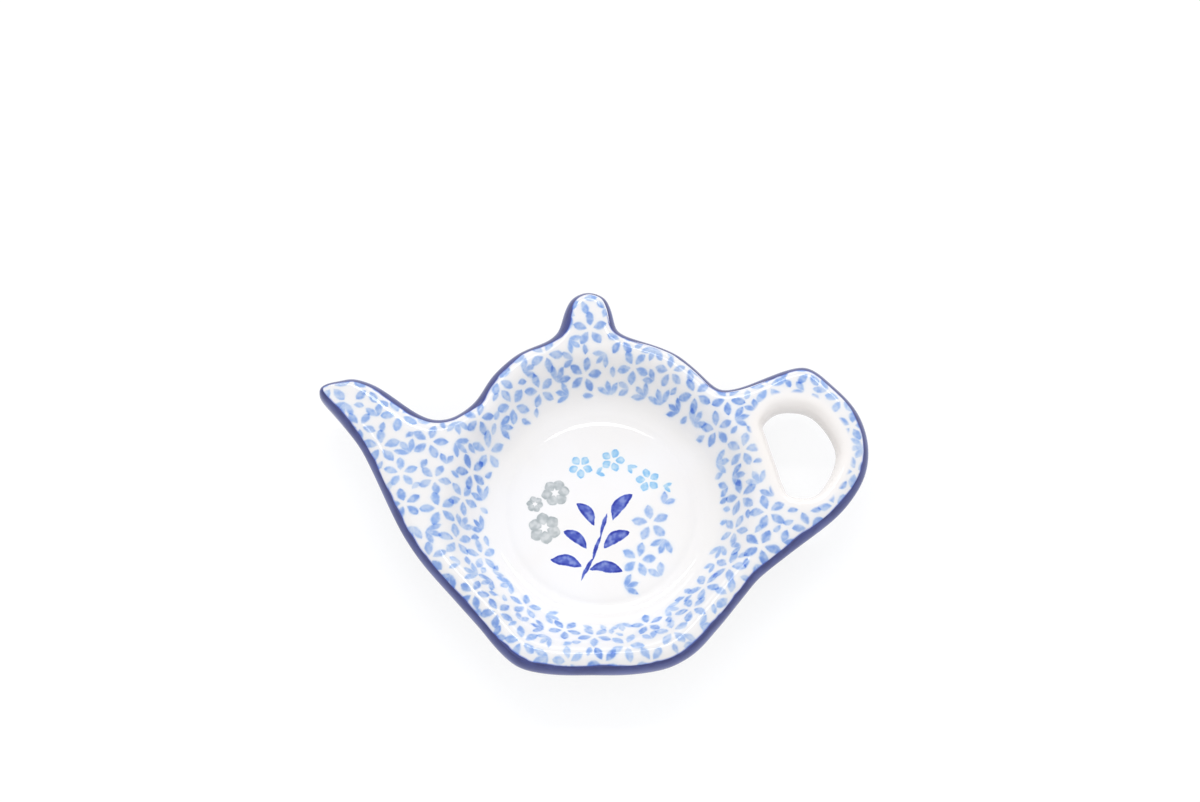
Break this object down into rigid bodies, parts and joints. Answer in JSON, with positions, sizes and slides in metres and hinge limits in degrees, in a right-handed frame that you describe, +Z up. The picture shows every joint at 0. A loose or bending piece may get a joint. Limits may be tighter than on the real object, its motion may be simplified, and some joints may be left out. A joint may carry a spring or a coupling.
{
  "type": "tea bag rest",
  "caption": "Small glazed stoneware dish in the outline of a teapot, with a shallow round well for a used tea bag, a rolled rim and an eye through its handle.",
  "frame": {"origin": "centre of the outline's box, on the table surface that the foot ring stands on", "axes": "+X towards the handle, -X towards the spout, +Y towards the knob, +Z up out of the well"},
  "size_m": [0.139, 0.1008, 0.017],
  "materials": {
    "stoneware": "fired unglazed clay",
    "bare_foot": "wiped bare, rubbed smooth",
    "white_glaze": "gloss, with stamped blue decoration under it",
    "cobalt_glaze": "gloss",
    "clear_glaze": "gloss, over the pale clay"
  },
  "bodies": {
    "root": {"stoneware_body": "stoneware", "foot_ring": "bare_foot", "face_glaze": "white_glaze", "edge_glaze": "cobalt_glaze", "under_glaze": "clear_glaze", "base_glaze": "clear_glaze"}
  },
  "joints": []
}
